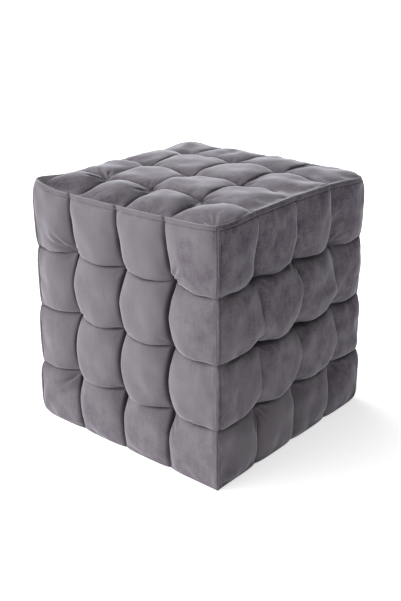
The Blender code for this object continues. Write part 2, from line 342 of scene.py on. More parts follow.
def quilted_face(border, quilting, tufts, edge_powers, seed):
    """The outer face, as points [up, across] of (across, up, depth), its painted fold shade, and its
    crossings.

    edge_powers says how squarely it rises from its left, right, bottom and top edges.
    """
    uneven = random.Random(seed)
    crossings = tuft_grid(border, tufts, quilting.tuft_depth, uneven)
    crown_drop = [[uneven.uniform(0, CROWN_CHANGE) for row in range(PUFFS)] for column in range(PUFFS)]
    crown_drop = np.array(crown_drop).T
    crown_drop[PUFFS // 2, PUFFS // 2] = 0.0
    crown_drop += UNSETTLED_DROP
    inner = range(1, PUFFS)
    level = [channel(crossings[row], quilting.tuft_depth, quilting.level, 1) for row in inner]
    level = np.array([border["bottom"](PLACES), *level, border["top"](PLACES)])
    upright = [channel(crossings[:, column], quilting.tuft_depth, quilting.upright, 0) for column in inner]
    upright = np.array([border["left"](PLACES), *upright, border["right"](PLACES)])

    # A Coons patch between the four lines round each puff, swollen towards the puff's crown.
    puff, share = split(PLACES)
    s, t = share[None, :, None], share[:, None, None]
    low = blend(crossings[puff][:, puff], crossings[puff][:, puff + 1], s)
    high = blend(crossings[puff + 1][:, puff], crossings[puff + 1][:, puff + 1], s)
    face = blend(level[puff], level[puff + 1], t)
    face += blend(upright[puff].transpose(1, 0, 2), upright[puff + 1].transpose(1, 0, 2), s)
    face -= blend(low, high, t)
    full_across, off_across, pinch_across = fullness(quilting.upright, edge_powers[:2])
    full_up, off_up, pinch_up = fullness(quilting.level, edge_powers[2:])
    from_ends = np.minimum(1.0, np.minimum(PLACES, PUFFS - PLACES))
    near_tuft = (off_across[None, :] * off_up[:, None]) ** TUFT_PINCH_POWER
    near_tuft = near_tuft * from_ends[None, :] * from_ends[:, None]
    pinched = near_tuft * (pinch_across[None, :] + LEVEL_PINCH * pinch_up[:, None])
    risen = (full_across[None, :] * full_up[:, None]) ** (1 + pinched)
    face[..., 2] = blend(face[..., 2], crown_drop[puff][:, puff], risen)

    # The pleat itself is a slit at the bottom of the channel, and the cloth beside it laps over it.
    away = channel_distance()
    from_border = ease(np.minimum(PLACES, PUFFS - PLACES))
    held = blend(PLEAT_AT_SEAM, 1.0, from_border)
    upright_slit = bell(away / PLEAT_WIDTH + PLEAT_LEAN * np.sign(quilting.upright.lap))
    level_slit = bell(away / PLEAT_WIDTH + PLEAT_LEAN * np.sign(quilting.level.lap))
    upright_pleat = quilting.upright.pleat * upright_slit[None, :] * held[:, None]
    face[..., 2] += np.maximum(upright_pleat, quilting.level.pleat * level_slit[:, None] * held[None, :])
    between_tufts = np.sin(np.pi * share) * from_border
    face[..., 0] += lapped_over(away, quilting.upright.lap)[None, :] * between_tufts[:, None]
    face[..., 1] += lapped_over(away, quilting.level.lap)[:, None] * between_tufts[None, :]

    # Painted shade darkens the colour at the bottom of a fold and round a tuft, less so towards the seams.
    lapped_side = FOLD_SHADE_LEAN * np.sign(quilting.upright.lap)
    shaded = blend(SHADE_AT_SEAM, 1.0, from_border)
    upright_shade = bell(away - lapped_side, UPRIGHT_SHADE_WIDTH)[None, :] * shaded[:, None]
    level_shade = bell(away, LEVEL_SHADE_WIDTH)[:, None] * shaded[None, :]
    tuft_shade = bell(away, TUFT_SHADE_WIDTH)
    shades = [upright_shade * min(1, quilting.upright.pleat / SHADED_PLEAT),
              level_shade * min(1, quilting.level.pleat / SHADED_PLEAT),
              tuft_shade[None, :] * tuft_shade[:, None]]
    return face, np.maximum.reduce(shades), crossings


# The cloth settles over its wadding in a cloth simulation, run on every few lines of the mesh. It is cut a
# little large, held at the seams and the tufts and less along the channels, and pressed out from behind.
SETTLING_STEP = 4
SETTLING_FRAMES = 20
CUT_LARGER = 0.04
CLOTH_SETTINGS = {
    "quality": 6, "mass": 0.3, "tension_stiffness": 30, "compression_stiffness": 30, "shear_stiffness": 8,
    "bending_stiffness": 2, "tension_damping": 5, "compression_damping": 5, "shear_damping": 5,
    "air_damping": 2, "pin_stiffness": 4, "shrink_min": -CUT_LARGER, "shrink_max": -CUT_LARGER,
}
SIDE_PRESSURE = 3.0
CHANNEL_HOLD = 0.5
FIRM_PLEAT = 0.0050
HOLD_REACH = 0.004
SEAM_HOLD_REACH = 0.006
MOST_MOVED = 0.005
SMOOTHING_PASSES = 3
SMOOTHING_LINES = 5
TINY = 1e-9


def placed_object(name, data):
    made = bpy.data.objects.new(name, data)
    bpy.context.scene.collection.objects.link(made)
    return made


def grid_quads(grid):
    """The four-sided faces between the rows and columns of a grid of point numbers."""
    return np.stack([grid[:-1, :-1], grid[:-1, 1:], grid[1:, 1:], grid[1:, :-1]], axis=-1).reshape(-1, 4)


def held_weights(quilting):
    """How firmly each point of the settling cloth is held, from 0 to 1."""
    kept = PLACES[::SETTLING_STEP]
    away = channel_distance()[::SETTLING_STEP]
    near = bell(away, HOLD_REACH)
    upright = near * CHANNEL_HOLD * min(1, quilting.upright.pleat / FIRM_PLEAT)
    level = near * CHANNEL_HOLD * min(1, quilting.level.pleat / FIRM_PLEAT)
    seam = 1 - ease(np.minimum(kept, PUFFS - kept) * SIDE / PUFFS / SEAM_HOLD_REACH)
    along_channels = np.maximum(upright[None, :], level[:, None])
    along_seams = np.maximum(seam[None, :], seam[:, None])
    return np.maximum.reduce([along_channels, along_seams, near[None, :] * near[:, None]]).round(2)


def settled(face, quilting, pressure):
    """The face after its cloth has settled over the wadding, which presses on it from behind."""
    coarse = face[::SETTLING_STEP, ::SETTLING_STEP] * (1, 1, -1)
    grid = np.arange(coarse.size // 3).reshape(coarse.shape[:2])
    data = bpy.data.meshes.new("settling")
    data.from_pydata(coarse.reshape(-1, 3).tolist(), [], grid_quads(grid).tolist())
    cloth = placed_object("settling", data)
    group = cloth.vertex_groups.new(name="held")
    weights = held_weights(quilting).ravel()
    for weight in np.unique(weights):
        group.add(np.flatnonzero(weights == weight).tolist(), float(weight), "REPLACE")
    modifier = cloth.modifiers.new("cloth", "CLOTH")
    settings = modifier.settings
    for label, value in CLOTH_SETTINGS.items():
        setattr(settings, label, value)
    settings.vertex_group_mass = group.name
    settings.use_pressure = True
    settings.uniform_pressure_force = pressure
    settings.effector_weights.gravity = 0
    modifier.collision_settings.use_collision = False
    modifier.point_cache.frame_end = SETTLING_FRAMES
    for frame_number in range(1, SETTLING_FRAMES + 1):
        bpy.context.scene.frame_set(frame_number)
    evaluated = cloth.evaluated_get(bpy.context.evaluated_depsgraph_get())
    places = np.zeros(coarse.size)
    evaluated.data.vertices.foreach_get("co", places)
    moved = (places.reshape(coarse.shape) - coarse) * (1, 1, -1)
    bpy.data.objects.remove(cloth)
    bpy.data.meshes.remove(data)
    bpy.context.scene.frame_set(1)

    # No point moves far, and the movement is spread smoothly over the fine mesh. The seams stay in place.
    size = np.linalg.norm(moved, axis=-1, keepdims=True)
    moved *= MOST_MOVED * np.tanh(size / MOST_MOVED) / np.maximum(size, TINY)
    fine, kept = np.arange(LAST + 1), np.arange(0, LAST + 1, SETTLING_STEP)
    for axis in (0, 1):
        moved = np.apply_along_axis(lambda line: np.interp(fine, kept, line), axis, moved)
    margin = SMOOTHING_LINES // 2
    for smoothing in range(SMOOTHING_PASSES):
        for axis in (0, 1):
            margins = [(margin, margin) if other == axis else (0, 0) for other in range(3)]
            wider = np.pad(moved, margins, mode="edge")
            shifted = [np.take(wider, fine + start, axis=axis) for start in range(SMOOTHING_LINES)]
            moved = np.mean(shifted, axis=0)
    free = ease(np.minimum(PLACES, PUFFS - PLACES) * SIDE / PUFFS / SEAM_HOLD_REACH)
    return face + moved * free[None, :, None] * free[:, None, None]


def outward(face):
    """Unit normals of a face's points, out of the stool, in the face's own (across, up, depth)."""
    normal = -np.cross(np.gradient(face, axis=1), np.gradient(face, axis=0))
    return normal / np.linalg.norm(normal, axis=-1, keepdims=True)


def run_from(face, edge):
    """How far each point lies from one edge of its face, measured over the cloth."""
    axis = 1 if edge in ("left", "right") else 0
    from_end = edge in ("right", "top")
    steps = np.linalg.norm(np.diff(face, axis=axis), axis=-1)
    steps = np.flip(steps, axis) if from_end else steps
    run = np.insert(np.cumsum(steps, axis=axis), 0, 0.0, axis=axis)
    return np.flip(run, axis) if from_end else run


# The lapped seams: the doubled cloth stands up beside the seam, and the line of stitching pulls it down.
TOP_BAND = 0.0078
CORNER_BAND = 0.0045
BAND_HEIGHT = 0.0009
BAND_ROLL = 0.0016
TOP_CORD_HEIGHTS = {"front": 0.0014, "right": 0.0003, "back": 0.0008, "left": 0.0008}
CORNER_CORD_HEIGHT = 0.0004
CORD_WIDTH = 0.0021
GROOVE_DEPTH = 0.0012
GROOVE_WIDTH = 0.0008


def seam_band(run, width, cord_height):
    """How far a lapped edge stands out, at a distance from its seam."""
    band = BAND_HEIGHT * np.sin(np.clip(run / BAND_ROLL, 0, 1) * np.pi / 2) * ease((width - run) / BAND_ROLL)
    band += cord_height * np.sin(np.clip(run / CORD_WIDTH, 0, 1) * np.pi) ** 2
    return band - GROOVE_DEPTH * bell(run - width, GROOVE_WIDTH)


# Pinch creases, each from a tuft, or another crossing of the channels, by its column and row: the direction
# it runs in, in degrees up from level, and its length, width and depth.
Crease = namedtuple("Crease", "column row direction length width depth")
CREASES = {
    "front": (
        (1, 3, 166, 0.064, 0.0036, 0.0024), (1, 3, 149, 0.058, 0.0032, 0.0020),
        (1, 1, 222, 0.050, 0.0032, 0.0022), (1, 1, 204, 0.046, 0.0030, 0.0014),
        (3, 3, 58, 0.050, 0.0034, 0.0015), (3, 3, 28, 0.046, 0.0032, 0.0013),
        (3, 1, 300, 0.046, 0.0032, 0.0014), (3, 1, 282, 0.040, 0.0028, 0.0012),
        (2, 2, 236, 0.030, 0.0030, 0.0008),
    ),
    "right": (
        (1, 1, 248, 0.044, 0.0030, 0.0016), (1, 1, 272, 0.048, 0.0032, 0.0018),
        (1, 1, 300, 0.042, 0.0030, 0.0014), (3, 1, 326, 0.062, 0.0032, 0.0020),
        (3, 1, 308, 0.052, 0.0030, 0.0016), (3, 1, 340, 0.050, 0.0030, 0.0012),
        (3, 3, 14, 0.050, 0.0032, 0.0014), (3, 3, 34, 0.044, 0.0030, 0.0012),
        (3, 3, 300, 0.036, 0.0030, 0.0012), (2, 3, 284, 0.030, 0.0030, 0.0010),
    ),
    "back": (
        (1, 3, 150, 0.052, 0.0032, 0.0016), (3, 1, 318, 0.050, 0.0032, 0.0016),
        (3, 3, 30, 0.044, 0.0032, 0.0014), (1, 1, 236, 0.042, 0.0030, 0.0014),
    ),
    "left": (
        (3, 3, 24, 0.054, 0.0032, 0.0018), (1, 3, 142, 0.046, 0.0032, 0.0014),
        (1, 1, 220, 0.044, 0.0030, 0.0014), (3, 1, 312, 0.048, 0.0032, 0.0016),
    ),
    "top": (
        (4, 0, 163, 0.066, 0.0026, 0.0011), (4, 0, 151, 0.060, 0.0024, 0.0011),
        (4, 0, 138, 0.050, 0.0024, 0.0009), (1, 1, 160, 0.050, 0.0030, 0.0016),
        (1, 1, 222, 0.044, 0.0032, 0.0014), (3, 1, 320, 0.040, 0.0030, 0.0010),
        (2, 1, 250, 0.036, 0.0030, 0.0010),
    ),
}
CREASE_SCALE = 2.6
CREASE_START = 0.016
CREASE_FADE = 0.7
CREASE_BEND = 0.10
CREASE_WIDENING = (0.6, 1.5)
RIDGE_HEIGHT = 0.35
RIDGE_PLACE = 1.9
RIDGE_WIDTH = 0.9

# Every tuft also has a few faint ones, each at some share of these measures.
FAINT_CREASES = 5
FAINT_SHARES = (0.3, 1.0)
FAINT_LENGTH = 0.034
FAINT_WIDTH = 0.0026
FAINT_DEPTH = 0.0008


def creased(face, crossings, creases, uneven):
    """How far the creases move each point outwards."""
    faint = []
    for column in range(1, PUFFS):
        for row in range(1, PUFFS):
            for index in range(FAINT_CREASES):
                direction = (index + uneven.random()) * 360 / FAINT_CREASES
                size = uneven.uniform(*FAINT_SHARES)
                faint.append((column, row, direction, FAINT_LENGTH * size, FAINT_WIDTH, FAINT_DEPTH * size))
    moved = np.zeros(face.shape[:2])
    for values in (*creases, *faint):
        crease = Crease(*values)
        across, up = (face[..., axis] - crossings[crease.row, crease.column, axis] for axis in (0, 1))
        angle = math.radians(crease.direction)
        along = across * math.cos(angle) + up * math.sin(angle)
        aside = up * math.cos(angle) - across * math.sin(angle)
        aside = aside + CREASE_BEND * along * np.abs(along) / crease.length
        width = crease.width * blend(*CREASE_WIDENING, np.clip(along / crease.length, 0, 1))
        trough = bell(aside, width) - RIDGE_HEIGHT * bell(np.abs(aside) / width - RIDGE_PLACE, RIDGE_WIDTH)
        strength = ease(along / CREASE_START) * ease((1 - along / crease.length) / CREASE_FADE)
        moved -= CREASE_SCALE * crease.depth * trough * strength
    return moved


# The cloth is never quite even: broad, shallow waves, each with its own direction and length.
CLOTH_SEEDS = {"front": 10, "right": 11, "back": 12, "left": 13, "top": 20}
WAVES = 14
WAVE_LENGTHS = (0.030, 0.085)
WAVE_HEIGHT = 0.00035


def waviness(face, uneven):
    moved = np.zeros(face.shape[:2])
    for wave in range(WAVES):
        length = uneven.uniform(*WAVE_LENGTHS)
        angle, phase = uneven.uniform(0, 2 * math.pi), uneven.uniform(0, 2 * math.pi)
        travel = face[..., 0] * math.cos(angle) + face[..., 1] * math.sin(angle)
        moved += np.sin(travel * 2 * math.pi / length + phase) * WAVE_HEIGHT * length / WAVE_LENGTHS[1]
    return moved


def uneven_cloth(name, face, crossings):
    """How far a panel's creases and waves move each point outwards."""
    uneven = random.Random(CLOTH_SEEDS[name])
    return creased(face, crossings, CREASES[name], uneven) + waviness(face, uneven)


SHARP_RIM = math.radians(60)


def panel_mesh(name, face, marks, back_corners, placing, uv_offset):
    """A closed pad: the quilted face, walls along the seams and a flat back, at its place in the stool.

    marks are values for the material by name, and back_corners is (left, bottom, right, top).
    """
    left, bottom, right, top = back_corners
    rim = [(step, 0) for step in range(LAST)] + [(LAST, step) for step in range(LAST)]
    rim += [(step, LAST) for step in range(LAST, 0, -1)] + [(0, step) for step in range(LAST, 0, -1)]
    back = []
    for up, across in rim:
        here = face[up, across]
        if across in (0, LAST):
            low, high = face[0, across, 1], face[LAST, across, 1]
            x, z = left if across == 0 else right, blend(bottom, top, (here[1] - low) / (high - low))
        else:
            low, high = face[up, 0, 0], face[up, LAST, 0]
            x, z = blend(left, right, (here[0] - low) / (high - low)), bottom if up == 0 else top
        back.append((x, z, PAD_THICKNESS))
    flat = np.concatenate([face.reshape(-1, 3), np.array(back)])
    turned = np.array(placing.to_3x3())
    placed = flat[:, (0, 2, 1)] @ turned.T + np.array(placing.translation)
    grid = np.arange(face.shape[0] * face.shape[1]).reshape(face.shape[:2])
    near = [int(grid[step]) for step in rim]
    far = [grid.size + index for index in range(len(rim))]
    walls = [list(corners) for corners in zip(near, near[1:] + near[:1], far[1:] + far[:1], far)]
    data = bpy.data.meshes.new(name)
    data.from_pydata(placed.tolist(), [], grid_quads(grid).tolist() + walls + [far])
    for label, values in marks.items():
        attribute = data.attributes.new(label, "FLOAT", "POINT")
        attribute.data.foreach_set("value", np.concatenate([values.ravel(), np.zeros(len(rim))]))
    corner_points = np.zeros(len(data.loops), dtype=int)
    data.loops.foreach_get("vertex_index", corner_points)
    cloth_uv = flat[:, :2] + np.array((uv_offset, 0.0))
    data.uv_layers.new(name="cloth").data.foreach_set("uv", cloth_uv[corner_points].ravel())
    data.shade_smooth()
    data.set_sharp_from_angle(angle=SHARP_RIM)
    return placed_object(name, data)


def give(tree, socket, value):
    """Sets an input to a value, or links it to another socket."""
    if isinstance(value, bpy.types.NodeSocket):
        tree.links.new(value, socket)
    else:
        socket.default_value = value


def new_node(tree, kind, **values):
    """A node with its inputs and settings given by name, with _ for each space in an input's name."""
    made = tree.nodes.new(kind)
    for key, value in values.items():
        label = key.replace("_", " ")
        if label in made.inputs:
            give(tree, made.inputs[label], value)
        else:
            setattr(made, key, value)
    return made


def calculate(tree, operation, *values):
    """The result of a Math node of sockets or numbers."""
    made = new_node(tree, "ShaderNodeMath", operation=operation)
    for socket, value in zip(made.inputs, values):
        give(tree, socket, value)
    return made.outputs["Value"]


def mix_colours(tree, share, first, second):
    made = new_node(tree, "ShaderNodeMix", data_type="RGBA")
    for name, value in (("Factor_Float", share), ("A_Color", first), ("B_Color", second)):
        socket = next(socket for socket in made.inputs if socket.identifier == name)
        tree.links.new(value, socket)
    return next(socket for socket in made.outputs if socket.identifier == "Result_Color")


def add_sockets(tree, inputs, outputs):
    """Gives a group its inputs and outputs, each a kind by name."""
    for in_out, sockets in (("INPUT", inputs), ("OUTPUT", outputs)):
        for label, kind in sockets.items():
            tree.interface.new_socket(label, in_out=in_out, socket_type="NodeSocket" + kind)


def new_material(name, **values):
    """A material, its nodes, and its shader with inputs given by name."""
    material = bpy.data.materials.new(name)
    material.use_nodes = True
    shader = material.node_tree.nodes["Principled BSDF"]
    for key, value in values.items():
        shader.inputs[key.replace("_", " ")].default_value = value
    return material, material.node_tree, shader


# How strongly the patches, clouds and wales show in the pile, how strong its grain is and what brushing adds
# to that, how far brushing and painted shade turn the pile and raise its contrast, how clouded the painted
# highlight on the edges is, and how strong the painted shade in the folds is.
PATCHES, CLOUDS, WALES = 2.3, 1.5, 0.2
GRAIN, BRUSHED_GRAIN = 0.2, 1.4
NAP_AND_PAINTED_SHADE_TURN, MOST_CONTRAST = 0.36, 0.75
HIGHLIGHT_CLOUDS = 2
PAINTED_SHADE_STRENGTH = 0.85


def velvet_nap_group():
    """How short pile looks over a panel: brushed patches, fine grain, faint upright wales, painted shade and
    highlight.
    """
    group = bpy.data.node_groups.new("velvet_nap_and_painted_light", "ShaderNodeTree")
    # Fold marks painted shade and Rubbed a painted highlight, with Crease and Rubbed Pile as their colours;
    # Brushed is partly the nap's brushing and partly painted shade and light.
    inputs = {"Cloth": "Vector", "Fold": "Float", "Brushed": "Float", "Rubbed": "Float", "Pile": "Color",
              "Pile Against Nap": "Color", "Crease": "Color", "Rubbed Pile": "Color"}
    add_sockets(group, inputs, {"Colour": "Color", "Roughness": "Float", "Height": "Float"})
    given = group.nodes.new("NodeGroupInput").outputs

    def noise(scale, detail, stretch=(1, 1, 1), distortion=0.0):
        cloth = new_node(group, "ShaderNodeMapping", Vector=given["Cloth"], Scale=stretch)
        texture = new_node(group, "ShaderNodeTexNoise", Vector=cloth.outputs["Vector"], Scale=scale,
                           Detail=detail, Distortion=distortion)
        return calculate(group, "SUBTRACT", texture.outputs["Fac"], 0.5)

    def scaled(value, factor):
        return calculate(group, "MULTIPLY", value, factor)

    def added(first, second):
        return calculate(group, "ADD", first, second)

    patches = noise(22, 4, distortion=0.8)
    clouds = noise(80, 3, stretch=(1.3, 0.8, 1))
    grain = noise(420, 2)
    wales = noise(500, 1, stretch=(1, 0.05, 1))
    # The brushed mask turns the pile towards its against-nap colour: partly the nap's own brushing, partly
    # painted shade and light.
    contrast = calculate(group, "MINIMUM", given["Brushed"], MOST_CONTRAST)
    uneven_nap = scaled(added(scaled(patches, PATCHES), scaled(clouds, CLOUDS)), contrast)
    nap_and_painted_shade_shift = calculate(group, "MULTIPLY_ADD", given["Brushed"], NAP_AND_PAINTED_SHADE_TURN, uneven_nap)
    speckle = scaled(grain, calculate(group, "MULTIPLY_ADD", contrast, BRUSHED_GRAIN, GRAIN))
    against_nap_and_painted_shade = added(added(nap_and_painted_shade_shift, speckle), scaled(wales, WALES))
    colour = mix_colours(group, against_nap_and_painted_shade, given["Pile"], given["Pile Against Nap"])
    # Painted highlight: the colour is lightened towards Rubbed Pile along the lapped edges.
    highlight_share = calculate(group, "MULTIPLY_ADD", scaled(clouds, HIGHLIGHT_CLOUDS), given["Rubbed"], given["Rubbed"])
    colour = mix_colours(group, highlight_share, colour, given["Rubbed Pile"])
    # Painted shade: the colour is darkened towards Crease in the folds, round the tufts and along the corner
    # seams.
    colour = mix_colours(group, scaled(given["Fold"], PAINTED_SHADE_STRENGTH), colour, given["Crease"])
    roughness = calculate(group, "MULTIPLY_ADD", against_nap_and_painted_shade, 0.15, 0.82)
    relief = added(added(scaled(grain, 0.6), scaled(clouds, 1.4)), scaled(wales, 0.4))
    new_node(group, "NodeGroupOutput", Colour=colour, Roughness=roughness, Height=relief)
    return group


# The pile, the pile brushed against its nap, which also serves as painted shade, the painted shade in folds,
# the painted highlight on the lapped edges, and the sheen's tint.
PILE = (0.142, 0.128, 0.143, 1)
PILE_AGAINST_NAP_AND_SHADE = (0.054, 0.039, 0.061, 1)
PAINTED_FOLD_SHADE = (0.022, 0.016, 0.022, 1)
PAINTED_EDGE_HIGHLIGHT = (0.235, 0.214, 0.238, 1)
SHEEN = (0.92, 0.92, 1.0, 1)


def velvet_material():
    material, tree, shader = new_material("grey_velvet", Metallic=0.0, Specular_IOR_Level=0.12,
                                          Sheen_Weight=0.65, Sheen_Roughness=0.35, Sheen_Tint=SHEEN)
    nap = new_node(tree, "ShaderNodeGroup", node_tree=velvet_nap_group(), Pile=PILE,
                   Pile_Against_Nap=PILE_AGAINST_NAP_AND_SHADE, Crease=PAINTED_FOLD_SHADE, Rubbed_Pile=PAINTED_EDGE_HIGHLIGHT)
    tree.links.new(new_node(tree, "ShaderNodeUVMap", uv_map="cloth").outputs["UV"], nap.inputs["Cloth"])
    # The marks: fold is painted shade, rubbed a painted highlight, and brushed partly the nap's brushing and
    # partly painted shade and light.
    for label in ("fold", "brushed", "rubbed"):
        mark = new_node(tree, "ShaderNodeAttribute", attribute_name=label)
        tree.links.new(mark.outputs["Fac"], nap.inputs[label.title()])
    bump = new_node(tree, "ShaderNodeBump", Strength=0.25, Distance=0.0006, Height=nap.outputs["Height"])
    tree.links.new(nap.outputs["Colour"], shader.inputs["Base Color"])
    tree.links.new(nap.outputs["Roughness"], shader.inputs["Roughness"])
    tree.links.new(bump.outputs["Normal"], shader.inputs["Normal"])
    return material


velvet = velvet_material()


def finished_panel(name, node, face, marks, back_corners, placing, uv_offset):
    panel = panel_mesh(name, face, marks, back_corners, placing, uv_offset)
    panel.data.materials.append(velvet)
    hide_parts(node)
    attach(panel, "root")
    return panel


def seam_line(face, normal, run, distance, placing):
    """The points at one distance from a panel's seam, and the way out of the cloth there, in the stool."""
    line = []
    for points_across, normals_across, runs in zip(face, normal, run):
        at = [np.interp(distance, runs, values) for values in (*points_across.T, *normals_across.T)]
        line.append(at)
    line = np.array(line)
    turned = np.array(placing.to_3x3())
    return line[:, (0, 2, 1)] @ turned.T + np.array(placing.translation), line[:, (3, 5, 4)] @ turned.T


# How far the nap is brushed back on each panel, from 0 to 1, and the places where it is brushed more or less:
# their middles in puffs from the left and the bottom, how far they reach across and up, and the change. This
# is partly the nap's own brushing and partly painted shade and light: darkest on the right side, which is in
# shade, darker towards that side's top and lighter towards its foot, and darker on the top behind its front
# lip and along its left edge.
SIDE_NAP_AND_PAINTED_SHADE = {"front": 0.10, "right": 0.85, "back": 0.5, "left": 0.4}
Brushed = namedtuple("Brushed", "across up reach_across reach_up change")
NAP_AND_PAINTED_SHADE_STROKES = {
    "front": ((3.8, 3.0, 0.5, 1.4, 0.35), (3.4, 3.4, 0.3, 0.4, 0.25), (0.3, 1.6, 0.3, 0.5, 0.10),
              (2.0, 0.2, 4.0, 1.0, 0.40), (0.6, 1.7, 0.3, 0.3, 0.15), (1.6, 2.5, 0.3, 0.3, 0.12)),
    "right": ((1.0, 3.2, 0.5, 0.8, 0.35), (2.4, 2.6, 0.7, 0.5, 0.25), (0.8, 0.6, 0.8, 0.5, -0.35),
              (0.4, 1.9, 0.7, 1.0, -0.35), (2.2, 1.2, 0.5, 0.4, 0.2), (3.6, 0.7, 0.4, 0.5, 0.3),
              (3.7, 2.3, 0.9, 1.4, 0.30), (2.0, 4.0, 9.0, 0.12, 0.50), (0.3, 3.6, 0.9, 0.5, 0.30),
              (2.4, 3.6, 2.0, 0.5, 0.50), (1.8, 0.4, 2.0, 0.5, -0.60), (2.0, 1.5, 0.8, 0.5, -0.35)),
    "back": ((1.5, 2.5, 0.8, 0.9, 0.3),),
    "left": ((2.5, 1.5, 0.8, 0.9, 0.3),),
    "top": ((0.2, 0.35, 0.55, 0.45, 0.90), (1.2, 0.10, 0.7, 0.30, 0.70), (2.4, 0.1, 0.7, 0.22, 0.5),
            (0.8, 1.5, 0.3, 0.6, 0.15), (0.0, 1.0, 0.25, 0.9, 0.8), (3.4, 2.2, 0.9, 1.6, 0.45),
            (3.5, 0.1, 0.5, 0.15, 0.3)),
}


def nap_and_painted_shade_marks(level, strokes):
    across, up = np.meshgrid(PLACES, PLACES)
    nap = np.full(across.shape, level)
    for values in strokes:
        stroke = Brushed(*values)
        from_middle = ((across - stroke.across) / stroke.reach_across) ** 2
        nap += stroke.change * np.exp(-(from_middle + ((up - stroke.up) / stroke.reach_up) ** 2))
    return nap


# A painted highlight lightens the colour along the folded edges, most on the front, and painted shade darkens
# it in the corner seams, where a panel goes under its neighbour's lap. The creases and waves fade out towards
# the seams, and everything towards the foot.
TOP_EDGE_HIGHLIGHT = {"front": 0.75, "right": 0.1, "back": 0.3, "left": 0.3}
CORNER_EDGE_HIGHLIGHT = 0.2
EDGE_HIGHLIGHT_WIDTH = 0.0016
CORNER_SHADE = 0.9
CORNER_SHADE_WIDTH = 0.0013
SEAM_FADE = 0.01
FOOT_FADE = 0.008
BACK_REACH = SIDE / 2 - PAD_THICKNESS - MITRE_GAP
SIDE_BACK = (-BACK_REACH, BACK_HEM_HEIGHT, BACK_REACH, BACK_REACH + HEIGHT - SIDE / 2)
STITCHED = slice(8, -8)
seam_lines = []

for turn, side in enumerate(SIDES):
    name, quilting = side.name, SIDE_QUILTING[side.name]
    face, fold, crossings = quilted_face(side_border(side), quilting, TUFTS[name], SIDE_EDGE_POWERS,
                                         TUFTING_SEEDS[name])
    face = settled(face, quilting, SIDE_PRESSURE)
    from_top, from_left = run_from(face, "top"), run_from(face, "left")
    past_bands = np.minimum(from_top - TOP_BAND, from_left - CORNER_BAND)
    relief = uneven_cloth(name, face, crossings) * ease(past_bands / SEAM_FADE)
    relief += np.where(from_top - TOP_BAND < from_left - CORNER_BAND,
                       seam_band(from_top, TOP_BAND, TOP_CORD_HEIGHTS[name]),
                       seam_band(from_left, CORNER_BAND, CORNER_CORD_HEIGHT))
    relief *= ease(run_from(face, "bottom") / FOOT_FADE)
    face = face + outward(face) * relief[..., None]
    angle = turn * math.pi / 2
    placing = Matrix.Translation((SIDE / 2 * math.sin(angle), -SIDE / 2 * math.cos(angle), 0))
    placing = placing @ Matrix.Rotation(angle, 4, "Z")
    # fold is painted shade in the folds and along the corner seam, rubbed a painted highlight on the lapped
    # edges, and brushed partly the nap's brushing and partly painted shade and light.
    marks = {
        "fold": np.maximum(fold, CORNER_SHADE * bell(run_from(face, "right"), CORNER_SHADE_WIDTH)),
        "rubbed": np.maximum(TOP_EDGE_HIGHLIGHT[name] * bell(run_from(face, "top"), EDGE_HIGHLIGHT_WIDTH),
                             CORNER_EDGE_HIGHLIGHT * bell(run_from(face, "left"), EDGE_HIGHLIGHT_WIDTH)),
        "brushed": nap_and_painted_shade_marks(SIDE_NAP_AND_PAINTED_SHADE[name], NAP_AND_PAINTED_SHADE_STROKES[name]),
    }
    finished_panel(f"{name}_velvet", f"{name}_panel", face, marks, SIDE_BACK, placing, turn)
    for edge, band in (("top", TOP_BAND), ("left", CORNER_BAND)):
        lines_from_edge = [face, outward(face), run_from(face, edge)]
        if edge == "top":
            lines_from_edge = [np.swapaxes(values, 0, 1)[:, ::-1] for values in lines_from_edge]
        seam_lines.append(seam_line(*(values[STITCHED] for values in lines_from_edge), band, placing))


# ----------------------------------------------------------------------------
# The top panel: the same velvet and quilting. It is sewn under the lapped edges of the sides, so it dips
# behind them.

TOP_QUILTING = Quilting(0.0135, Channel(0.0085, 1.7, 0.0030, 0.0, 0.0016, Rise(2.5, 0.5), Rise(2.0, 0.8)),
                        Channel(0.0050, 1.9, 0.0004, 0.0, 0.0006, Rise(2.2, 0.7), Rise(1.9, 1.0)))
TOP_PRESSURE = 2.0
TOP_EDGE_POWERS = (5.0, 3.2, 1.8, 5.0)
Dip = namedtuple("Dip", "depth reach")
TOP_DIPS = {"left": Dip(0.0010, 0.009), "right": Dip(0.0010, 0.009), "bottom": Dip(0.0090, 0.016)}
# How far the top's nap is brushed, which also darkens it as painted shade.
TOP_NAP_AND_PAINTED_SHADE = 0.55
TOP_BACK = (-BACK_REACH, -BACK_REACH, BACK_REACH, BACK_REACH)


def top_border():
    def edge(side, turned):
        def at(place):
            along, inset, height = top_seam(side, place)
            return turned(along + end_gap(place), inset + MITRE_GAP - SIDE / 2, HEIGHT - height)

        return at

    front, right, back, left = SIDES
    back_edge = edge(back, lambda along, out, depth: points(-along, -out, depth))
    left_edge = edge(left, lambda along, out, depth: points(out, -along, depth))
    return {
        "bottom": edge(front, lambda along, out, depth: points(along, out, depth)),
        "right": edge(right, lambda along, out, depth: points(-out, along, depth)),
        "top": lambda place: back_edge(PUFFS - place),
        "left": lambda place: left_edge(PUFFS - place),
    }


face, fold, crossings = quilted_face(top_border(), TOP_QUILTING, TUFTS["top"], TOP_EDGE_POWERS,
                                     TUFTING_SEEDS["top"])
for edge, dip in TOP_DIPS.items():
    run = run_from(face, edge) / dip.reach
    face[..., 2] += dip.depth * run * np.exp(1 - run)
face = settled(face, TOP_QUILTING, TOP_PRESSURE)
nearest = np.minimum.reduce([run_from(face, edge) for edge in ("left", "right", "bottom", "top")])
relief = uneven_cloth("top", face, crossings) * ease(nearest / SEAM_FADE)
face = face + outward(face) * relief[..., None]
placing = Matrix.Translation((0, 0, HEIGHT)) @ Matrix.Rotation(-math.pi / 2, 4, "X")
